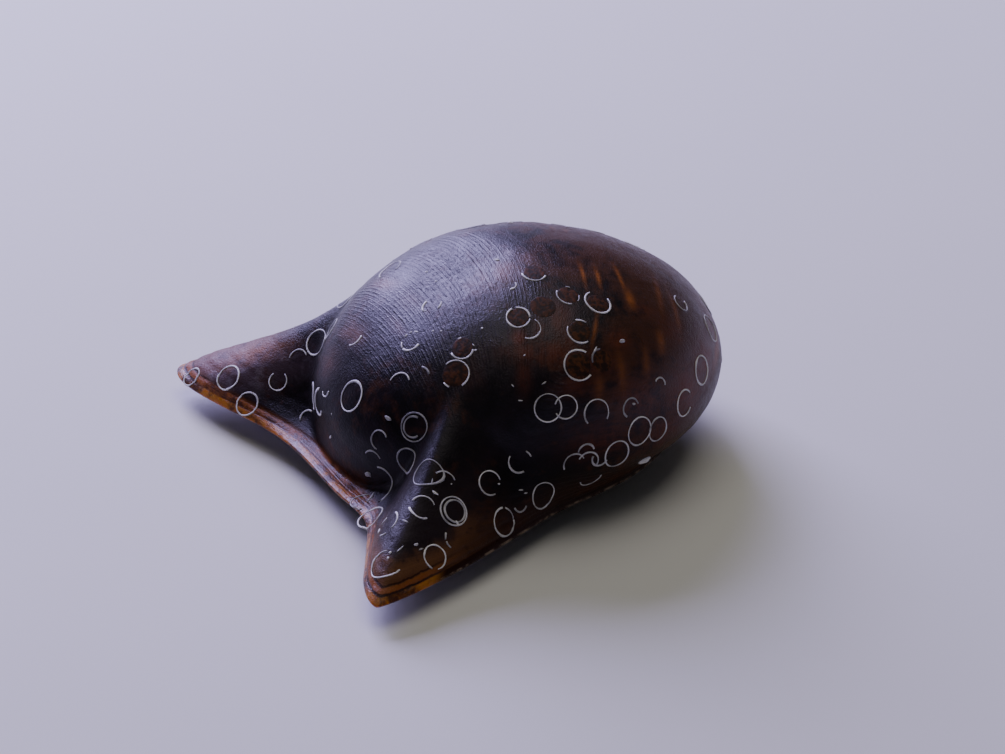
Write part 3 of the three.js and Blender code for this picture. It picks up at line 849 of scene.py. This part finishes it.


# Rings of lime that egg capsules left on the shell, placed by their pixels in the photo:
# x, y, width, brightness, and the arcs that are left of a broken one, anticlockwise from the right. The
# brightness is painted light and shade: low where a ring lies in shade, high where it is lit
eggRings = {
    "line": 0.085,
    "rise": 0.035,
    "discRise": 0.008,
    "sides": 6,
    "step": 14,  # degrees between the sections of an arc
    "uneven": 0.5,
    "wobble": 0.05,
    "castFrom": 0.9,  # a ring is laid on from so far above the shell, and goes down so far at most
    "castTo": 2.2,
    "seed": 5,
    "far": 46,
    "farApart": 1.35,
    "farTurns": [(-178, -8), (150, 179)],
    "farShare": 0.86,  # share in the first range
    "farFalls": (0.12, 0.93),
}
nearRings = [
    # front of the dome
    (351, 396, 1.25, 0.8), (318, 402, 1.05, 0.9, (100, 330)), (326, 390, 0.55, 0.9, (170, 330)),
    (399, 384, 0.95, 1, (10, 150)), (418, 378, 1, 0.4, (10, 70)), (355, 336, 0.85, 0.9, (225, 330)),
    (411, 341, 0.9, 1, (45, 70), (85, 100), (115, 130), (165, 205), (215, 320)),
    (462, 348, 0.95, 0.8, (200, 345), (95, 110)), (455, 374, 1.15, 0.9, (-60, 130), (215, 245)),
    (432, 305, 0.85, 1, (125, 205), (-50, 0)), (390, 269, 1.05, 0.7, (-60, 210)),
    # top and back of the dome
    (534, 273, 0.95, 0.9, (190, 345)), (510, 285, 0.5, 0.9, (-90, 30)),
    (518, 317, 0.95, 1, (0, 100), (120, 350)), (529, 328, 0.95, 0.8, (-110, 60)),
    (568, 295, 0.95, 0.7, (165, 290), (-30, 10), (80, 100)), (598, 302, 1.1, 0.95, (130, 400)),
    (580, 331, 1.05, 0.8, (165, 310), (60, 110)), (579, 365, 1.25, 1, (60, 325)),
    (602, 360, 0.9, 0.15, (100, 200)), (548, 408, 1.1, 0.95), (566, 407, 0.95, 0.95, (-150, 165)),
    (597, 413, 1.1, 0.75, (-30, 225)), (681, 303, 0.75, 0.6, (150, 420)), (711, 328, 1.15, 0.7),
    (702, 370, 1.2, 0.85), (685, 403, 1.1, 0.8, (40, 330)), (660, 385, 0.6, 0.6, (0, 150)),
    # lower part of the near side
    (414, 427, 1.15, 0.35), (413, 427, 0.85, 0.3, (60, 300)), (379, 440, 0.8, 0.35, (20, 250)),
    (373, 461, 0.9, 0.3, (30, 150)), (408, 460, 1, 0.35), (425, 472, 1.2, 0.4),
    (381, 481, 1.25, 0.4, (-110, 110)), (444, 483, 1, 0.5, (20, 130)),
    (423, 507, 1, 0.9, (20, 140), (180, 290)), (454, 511, 1.18, 0.8), (455, 511, 0.92, 0.6),
    (490, 483, 0.98, 0.8, (20, 300)), (520, 461, 0.95, 0.7, (150, 290), (20, 60)), (543, 495, 1.1, 0.85),
    (504, 522, 1.05, 0.75, (-10, 60), (75, 350)), (520, 503, 0.7, 0.3, (200, 330)),
    (456, 538, 1, 0.7, (160, 190), (200, 235)), (574, 464, 0.9, 0.7, (20, 200)),
    (588, 462, 0.9, 0.7, (-30, 150)), (586, 452, 0.7, 0.6, (10, 170)), (600, 458, 0.7, 0.6, (150, 330)),
    (591, 478, 0.95, 0.9, (180, 350)), (617, 454, 1.15, 0.85), (640, 431, 1.2, 0.9), (658, 429, 1, 0.6),
    (631, 408, 0.8, 0.3, (20, 240)),
    # near wing
    (387, 524, 1.15, 0.8, (-70, 30), (95, 130), (150, 175), (230, 262)), (371, 518, 1.15, 0.9),
    (362, 502, 0.95, 0.5, (60, 270)), (383, 564, 1.22, 1, (80, 335)), (435, 557, 0.98, 1, (-70, 258)),
    # far wing
    (192, 377, 0.75, 0.8), (228, 377, 1.05, 1), (247, 404, 1, 0.9), (278, 381, 0.8, 1, (120, 400)),
    (317, 342, 1.1, 0.9), (298, 360, 0.9, 0.7, (20, 160)), (307, 417, 0.6, 0.7, (30, 200)),
]
# Brown discs that some capsules left: x, y, width
discs = [
    (455, 374, 1.05), (462, 347, 0.85), (518, 317, 0.85), (543, 306.5, 1.05), (602, 361, 0.9), (579, 366, 1),
    (598, 304, 0.95), (568, 295, 0.85), (580, 331, 0.9), (534, 272, 0.85),
]
# Loose bits of lime: x, y, length, width, slant, brightness, which is painted light and shade as for the
# rings
bits = [
    (497, 260, 0.24, 0.12, -25, 1), (426.5, 272, 0.1, 0.07, 0, 1), (436, 281.5, 0.08, 0.06, 0, 0.9),
    (482, 328, 0.09, 0.07, 0, 0.9), (433, 331, 0.08, 0.06, 20, 0.8), (441, 331, 0.1, 0.05, 10, 0.8),
    (425.5, 311, 0.1, 0.06, 30, 0.7), (524.5, 355, 0.12, 0.05, 50, 0.8), (544, 383, 0.22, 0.06, 35, 0.5),
    (512.5, 385.5, 0.12, 0.06, -40, 0.6), (475.5, 350, 0.09, 0.07, 0, 1), (473.5, 345, 0.12, 0.05, -60, 0.6),
    (520.5, 400.5, 0.2, 0.05, 0, 0.6), (595, 350, 0.36, 0.08, 65, 0.7), (330.5, 437, 0.2, 0.09, 50, 1),
    (331.5, 414, 0.1, 0.06, 60, 0.5), (388, 418, 0.34, 0.14, -40, 0.3), (368, 474.5, 0.36, 0.22, 10, 0.3),
    (499, 484, 0.1, 0.08, 0, 0.8), (521, 490, 0.22, 0.06, 0, 0.6), (435, 493, 0.26, 0.1, -30, 1),
    (405, 521, 0.34, 0.08, -40, 0.4), (457, 523, 0.24, 0.1, -55, 0.8), (390, 552.5, 0.14, 0.1, 20, 1),
    (388, 558, 0.13, 0.1, 60, 0.8), (416, 544.5, 0.2, 0.1, 20, 0.6), (400, 549, 0.4, 0.06, 48, 0.5),
    (451.5, 484, 0.08, 0.07, 0, 0.6), (432, 482, 0.3, 0.06, 80, 0.3), (421, 549, 0.22, 0.06, 30, 0.5),
    (526, 493, 0.16, 0.06, 10, 0.5), (622, 341, 0.3, 0.16, 20, 0.4), (634, 404, 0.16, 0.1, 0, 0.5),
    (484, 225, 0.2, 0.14, 0, 0.5), (511, 223, 0.26, 0.16, 0, 0.7), (644, 460, 0.62, 0.36, -20, 1),
]


# Lays a flat shape, with Z as its height, on the shell at a place
def layOnShell(verts, spot, out, right):
    across = (right - out * out.dot(right)).normalized()
    upward = out.cross(across)
    for v in verts:
        flat = spot + across * v.co.x + upward * v.co.y
        above = flat + out * eggRings["castFrom"]
        under, slope, _, _ = shellTree.ray_cast(above, -out)
        if under is None or (under - above).length > eggRings["castTo"]:
            under, slope = flat, out
        v.co = under + slope * v.co.z


# Adds a small mesh to a growing one, with its brightness, which holds painted light and shade
def gather(whole, part, chalkAndPaintedLight):
    layer = part.verts.layers.float.new("chalkAndPaintedLight")
    for v, level in zip(part.verts, chalkAndPaintedLight):
        v[layer] = min(1, level)
    mesh = toMesh("part", part)
    whole.from_mesh(mesh)
    bpy.data.meshes.remove(mesh)


# One arc of a ring round the origin. Its thickness and brightness come and go along it, and one side of it
# is painted brighter, a painted highlight as if it faced the light
def flatArc(width, line, start, end, light, draw):
    bm = bmesh.new()
    full = end - start >= 360
    steps = max(3, round((end - start) / eggRings["step"]))
    bmesh.ops.create_circle(bm, cap_ends=not full, radius=0.5, segments=eggRings["sides"])
    for v in bm.verts:
        v.co = Vector((width / 2 + v.co.x * line, 0, v.co.y * 2 * eggRings["rise"]))
    section = bm.verts[:] + bm.edges[:] + bm.faces[:]
    sweep = math.radians(end - start)
    bmesh.ops.spin(bm, geom=section, axis=(0, 0, 1), angle=sweep, steps=steps, use_merge=full)
    phase = draw.uniform(0, 6)
    chalkAndPaintedLight = []
    for v in bm.verts:
        angle = math.atan2(v.co.y, v.co.x)
        radius = math.hypot(v.co.x, v.co.y)
        around = Vector((math.cos(angle), math.sin(angle), phase * 7))
        thick = 0.8 + eggRings["uneven"] * noise.noise(around * 1.3)
        wobble = eggRings["wobble"] * noise.noise(around * 0.8 + Vector((0, 0, 4)))
        radius = width / 2 * (1 + wobble) + (radius - width / 2) * thick
        # painted highlight: one side of the ring brighter, as if lit from there
        paintedLitSide = 0.18 * math.cos(angle - phase)
        chalkAndPaintedLight.append(light * (0.85 + paintedLitSide + 0.6 * noise.noise(around * 1.7 + Vector((0, 0, 9)))))
        angle += math.radians(start)
        v.co = Vector((radius * math.cos(angle), radius * math.sin(angle), v.co.z * thick))
    return bm, chalkAndPaintedLight


# Places for rings that the photo doesn't show
def farRingSpots(draw):
    spots = []
    while len(spots) < eggRings["far"]:
        turns = eggRings["farTurns"][draw.random() >= eggRings["farShare"]]
        turn = np.array([draw.uniform(*turns)])
        fall = np.array([draw.uniform(*eggRings["farFalls"])])
        base, out = Vector(facePoint(turn, fall)[0]), Vector(faceAxes(turn, fall)[0][0])
        hidden = out.dot(viewAxes()[2]) < 0.12
        clear = all((base - other).length > eggRings["farApart"] for other, _ in spots)
        if hidden and clear:
            spots.append((base, out))
    return spots


def eggRingPieces(ringMaterial, discMaterial):
    draw = random.Random(eggRings["seed"])
    right = viewAxes()[0]
    whole = bmesh.new()

    def addArc(spot, out, width, light, start, end):
        line = eggRings["line"] * draw.uniform(0.85, 1.25)
        arc, chalkAndPaintedLight = flatArc(width, line, start, end, light, draw)
        layOnShell(arc.verts, spot, out, right)
        gather(whole, arc, chalkAndPaintedLight)

    for spot, out, _, _, width, light, *arcs in onPixels(shellTree, nearRings):
        for start, end in arcs or [(0, 360)]:
            addArc(spot, out, width, light, start, end)
    for base, out in farRingSpots(draw):
        spot, out, _, _ = shellTree.ray_cast(base + out, -out)
        start = draw.uniform(0, 360)
        sweep = 360 if draw.random() < 0.45 else draw.uniform(120, 330)
        addArc(spot, out, draw.uniform(0.9, 1.25), draw.uniform(0.3, 1), start, start + sweep)
    for spot, out, x, y, length, width, slant, light in onPixels(shellTree, bits):
        bit = bmesh.new()
        bmesh.ops.create_icosphere(bit, subdivisions=2, radius=0.5)
        for v in bit.verts:
            v.co *= 1 + 0.5 * noise.noise(v.co * 2 + Vector((x, y, 0)))
            v.co = Vector((v.co.x * length, v.co.y * width, v.co.z * min(length, width) * 0.8))
        turned = Matrix.Rotation(math.radians(slant), 3, "Z")
        bmesh.ops.rotate(bit, verts=bit.verts, matrix=turned)
        layOnShell(bit.verts, spot, out, right)
        gather(whole, bit, [light] * len(bit.verts))
    bmesh.ops.recalc_face_normals(whole, faces=whole.faces)
    addPiece("egg_rings", toMesh("egg_rings", whole), ringMaterial)

    bm = bmesh.new()
    for spot, out, _, _, width in onPixels(shellTree, discs):
        made = bmesh.ops.create_uvsphere(bm, u_segments=28, v_segments=12, radius=width / 2)["verts"]
        bmesh.ops.scale(bm, vec=(1, 1, eggRings["discRise"] / (width / 2)), verts=made)
        layOnShell(made, spot, out, right)
    addPiece("egg_discs", toMesh("egg_discs", bm), discMaterial)


def ringMaterial():
    paint = Paint("ring lime")
    worn = paint.cloud(0.12, 3, 0.6)
    # the lime runs from dim grey, painted shade, to white, painted light, by the brightness
    colour = paint.attribute("chalkAndPaintedLight").blend(tone(100, 96, 108), tone(250, 248, 250))
    colour = (worn.step(0.62, 0.75) * 0.5).blend(colour, tone(120, 90, 60))
    return paint.plain(colour, 0.35 + worn * 0.2, worn.swing(0.03))


def discMaterial():
    paint = Paint("capsule brown")
    mottle = paint.cloud(0.22, 4, 0.6)
    colour = mottle.step(0.4, 0.65).blend(tone(34, 15, 8), tone(84, 44, 18))
    return paint.plain(colour, 0.5 + mottle * 0.2, mottle.swing(0.03), {"Specular IOR Level": 0.25})


eggRingPieces(ringMaterial(), discMaterial())
print("rings made")


# The flesh under the shell, in one skin
flesh = {
    "voxel": 0.1,
    "pads": [  # middle, half sizes, squareness
        ((0, 0.8, 0.72), (4.35, 5.75, 0.72), 2.7),  # foot
        ((0, 1.0, 1.6), (3.4, 4.6, 0.6), 2.4),  # body between foot and mantle
        ((0, -0.1, 2.5), (4.95, 3.1, 0.8), 2.5),  # mantle
        ((3.75, 2.9, 2.5), (1.1, 3.0, 0.75), 2.4),
        ((-3.75, 2.9, 2.5), (1.1, 3.0, 0.75), 2.4),
        ((0, 4.0, 2.98), (4.4, 2.5, 0.32), 2.4),  # its roof over the lid
        ((0, 5.0, 1.5), (1.6, 1.0, 0.24), 2.2),  # the foot's hold on the lid
        ((0, -4.7, 2.4), (2.35, 1.6, 0.72), 2.4),  # head
        ((0, -4.2, 1.6), (2.1, 1.4, 0.7), 2.2),
        ((0, -5.5, 1.35), (1.3, 0.9, 0.75), 2.2),
        ((0, -6.1, 0.88), (1.45, 0.8, 0.58), 2.3),  # snout
    ],
    "stalk": ((2.1, -5.0, 2.25), (3.2, -5.0, 2.3), 0.46, 0.33),
    "tentacle": [
        (1.5, -5.3, 1.4), (1.9, -5.6, 1.12), (2.8, -6.2, 0.85),
        (3.9, -6.5, 0.7), (5.0, -6.55, 0.7), (6.1, -6.4, 0.8),
    ],
    "tentacleRoot": 0.36,
    "tentacleTip": 0.14,
    "mouthZ": 0.66,
    "mouthFront": -6.3,
    "hemZ": 0.42,
}


def addPad(bm, middle, halves, squareness):
    made = bmesh.ops.create_uvsphere(bm, u_segments=40, v_segments=24, radius=1)["verts"]
    for v in made:
        size = sum(abs(part) ** squareness for part in v.co) ** (1 / squareness)
        v.co = Vector(middle) + Vector(part / size * half for part, half in zip(v.co, halves))


def addBead(bm, side, spot, radius):
    place = Matrix.Translation((side * spot.x, spot.y, spot.z))
    bmesh.ops.create_icosphere(bm, subdivisions=2, radius=radius, matrix=place)


def curvePoint(points, share):
    count = len(points) - 1
    index = min(int(share * count), count - 1)
    t = share * count - index
    a, b, c, d = (Vector(points[min(max(index + place, 0), count)]) for place in (-1, 0, 1, 2))
    square, cube = 2 * a - 5 * b + 4 * c - d, 3 * b - a - 3 * c + d
    return 0.5 * (2 * b + (c - a) * t + square * t * t + cube * t ** 3)


def fleshSkin(material):
    bm = bmesh.new()
    for middle, halves, squareness in flesh["pads"]:
        addPad(bm, middle, halves, squareness)
    for side in (1, -1):
        start, end, thick, thin = flesh["stalk"]
        for step in range(9):
            spot = Vector(start).lerp(Vector(end), step / 8)
            addBead(bm, side, spot, mixed(thick, thin, step / 8))
        for step in range(61):
            share = step / 60
            spot = curvePoint(flesh["tentacle"], share)
            radius = mixed(flesh["tentacleRoot"], flesh["tentacleTip"], share ** 0.8)
            addBead(bm, side, spot, radius)
    rough = addObject("flesh_rough", toMesh("flesh_rough", bm))
    merge = rough.modifiers.new("merge", "REMESH")
    merge.mode = "VOXEL"
    merge.voxel_size = flesh["voxel"]
    bpy.context.view_layer.update()
    shaped = bpy.data.meshes.new_from_object(rough.evaluated_get(bpy.context.evaluated_depsgraph_get()))
    bpy.data.objects.remove(rough)
    bm = bmesh.new()
    bm.from_mesh(shaped)
    smoothVerts(bm, bm.verts, 6)
    bm.normal_update()
    for v in bm.verts:
        x, y, z = v.co
        fold = noise.noise(Vector((x * 1.2, y * 1.2, z * 3))) * 0.05 + noise.noise(v.co * 4) * 0.02
        above = z - flesh["mouthZ"]
        mouth = math.exp(-((above + 0.1 * x ** 2) / 0.07) ** 2) * math.exp(-(x / 0.6) ** 4)
        lips = math.exp(-(above / 0.25) ** 2) * math.exp(-(x / 0.7) ** 4)
        front = 1 if y < flesh["mouthFront"] else 0
        hem = -0.05 * math.exp(-((z - flesh["hemZ"]) / 0.07) ** 2) if z < 0.8 and y > -5.2 else 0
        v.co += v.normal * (fold + hem + front * (0.06 * lips - 0.16 * mouth))
        v.co.z = max(v.co.z, 0)
    nodes = ("foot", "mantle", "head", "snout", "tentacle_left", "tentacle_right")
    addPiece("flesh_skin", toMesh("flesh_skin", bm), material, nodes)


def fleshMaterial():
    paint = Paint("flesh")
    specks = paint.cloud(0.16, 3, 0.6)
    wrinkles = paint.cloud(0.35, 5, 0.62, 0.8)
    colour = paint.cloud(0.9, 4, 0.6).step(0.4, 0.62).blend(tone(120, 104, 84), tone(70, 60, 54))
    colour = (specks.step(0.56, 0.68) * 0.8).blend(colour, tone(26, 22, 22))
    colour = (paint.part("Z").step(0.5, 0.1) * 0.7).blend(colour, tone(168, 152, 122))
    return paint.plain(colour, 0.32 + wrinkles * 0.2, wrinkles.swing(0.08) + specks.swing(0.015), {
        "Subsurface Weight": 0.25,
        "Subsurface Radius": (1, 0.6, 0.35),
        "Subsurface Scale": 0.4 * mm,
        "IOR": 1.38,
    })


fleshSkin(fleshMaterial())
print("flesh made")


# The lid of the aperture, a half moon with growth arcs, and the eyes
lid = {
    "halfWidth": 2.4,
    "front": 3.65,
    "rear": 6.68,
    "low": 1.72,
    "high": 2.2,
    "bulge": 0.45,  # how far the front edge bows forward
    "heart": (0.9, 4.5),  # the arcs run round this point
    "arcs": 9,
    "closer": 0.87,  # each arc against the one outside it
    "ridge": 0.025,
    "tintY": 3.4,  # the bands of colour run round this
}
eyes = {"gaze": (0.75, -0.55, 0.2), "size": 0.94, "lens": 0.05}


def lidPiece(material):
    bm = bmesh.new()
    made = bmesh.ops.create_circle(bm, cap_ends=True, radius=1, segments=64)["verts"]
    middle = lid["front"] + lid["bulge"]
    for v in made:
        depth = lid["rear"] - middle if v.co.y > 0 else lid["bulge"]
        v.co = Vector((lid["halfWidth"] * v.co.x, middle + depth * v.co.y, 0))
    bm.faces.ensure_lookup_table()
    plate = bm.faces[0]
    heart = Matrix.Translation((-lid["heart"][0], -lid["heart"][1], 0))
    closer = (lid["closer"], lid["closer"], 1)
    for arc in range(lid["arcs"]):
        rise = lid["ridge"] if arc % 2 else -lid["ridge"] / 2
        bmesh.ops.inset_individual(bm, faces=[plate], thickness=0)
        bmesh.ops.scale(bm, vec=closer, space=heart, verts=plate.verts)
        bmesh.ops.translate(bm, vec=(0, 0, rise), verts=plate.verts)
    bmesh.ops.solidify(bm, geom=bm.faces[:], thickness=(lid["high"] - lid["low"]) * 0.7)
    bmesh.ops.recalc_face_normals(bm, faces=bm.faces)
    top, bottom = max(v.co.z for v in bm.verts), min(v.co.z for v in bm.verts)
    for v in bm.verts:
        v.co.z = mixed(lid["low"], lid["high"], (v.co.z - bottom) / (top - bottom))
    addPiece("operculum_plate", toMesh("operculum_plate", bm), material, ("operculum",))


def lidMaterial():
    paint = Paint("horn")
    x, y = map(paint.part, "XY")
    y = y - lid["tintY"]
    arcs = (x * x * 0.4 + y * y) ** 0.5
    rings = paint.ripple(arcs + paint.cloud(1) * 0.3, 0.14)
    colour = rings.blend(tone(60, 34, 20), tone(150, 104, 62))
    return paint.plain(colour, 0.3 + rings * 0.2, rings.swing(0.06))


def eyePieces(material):
    for name, side in (("left", 1), ("right", -1)):
        low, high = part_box("eye_" + name)
        middle = (low + high) / 2 / mm
        radius = (high.z - low.z) / 2 / mm
        bm = bmesh.new()
        bmesh.ops.create_uvsphere(bm, u_segments=32, v_segments=24, radius=radius)
        outward, ahead, upward = eyes["gaze"]
        gaze = Vector((side * outward, ahead, upward)).normalized()
        for v in bm.verts:
            lens = smoothStep(v.co.normalized().dot(gaze), 0.75, 0.95)
            v.co = v.co * (eyes["size"] + eyes["lens"] * lens) + middle
        addPiece("eyeball_" + name, toMesh("eyeball_" + name, bm), material, ("eye_" + name,))


def eyeMaterial():
    paint = Paint("eye")
    cloud = paint.cloud(0.12, 2)
    colour = (cloud * 0.4).blend(tone(6, 6, 8), tone(46, 34, 26))
    return paint.plain(colour, 0.08 + cloud * 0.05, others={"Coat Weight": 0.5})


lidPiece(lidMaterial())
eyePieces(eyeMaterial())
print("lid and eyes made")


# The floor and the light
studio = {
    "floorHalf": 1.5,
    "floorZ": -0.02,
    "world": (0.62, 0.62, 0.66, 1.0),
    "worldStrength": 0.08,
    # name: direction it shines from, distance, width, height, watts, colour
    "lamps": {
        "key": ((-0.86, -0.04, 0.5), 0.2, 0.12, 0.12, 0.85, (0.58, 0.52, 1.0)),
        "top": ((-0.1, 0.1, 1.0), 0.35, 0.3, 0.3, 0.42, (1.0, 0.94, 0.84)),
    },
}


def makeFloor():
    bm = bmesh.new()
    bmesh.ops.create_grid(bm, x_segments=4, y_segments=4, size=studio["floorHalf"])
    bmesh.ops.translate(bm, vec=(0, 0, studio["floorZ"] * mm), verts=bm.verts)
    mesh = toMesh("floor", bm)
    floor = addObject("floor", mesh)
    paint = Paint("floor")
    colour = (paint.cloud(12, 3) * 0.3).blend(tone(222, 222, 220), tone(236, 236, 234))
    mesh.materials.append(paint.plain(colour, 0.7))


def makeLights():
    world = bpy.data.worlds.new("studio")
    world.use_nodes = True
    sky = world.node_tree.nodes["Background"].inputs
    sky["Color"].default_value = studio["world"]
    sky["Strength"].default_value = studio["worldStrength"]
    scene.world = world
    for name, (direction, distance, width, height, watts, colour) in studio["lamps"].items():
        light = bpy.data.lights.new(name, "AREA")
        light.shape = "RECTANGLE"
        light.size, light.size_y = width, height
        light.energy = watts
        light.color = colour
        lamp = addObject(name, light)
        towards = Vector(direction).normalized()
        lamp.location = view["target"] * mm + towards * distance
        lamp.rotation_mode = "QUATERNION"
        lamp.rotation_quaternion = towards.to_track_quat("Z", "Y")


makeFloor()
makeLights()
print("floor and light made")
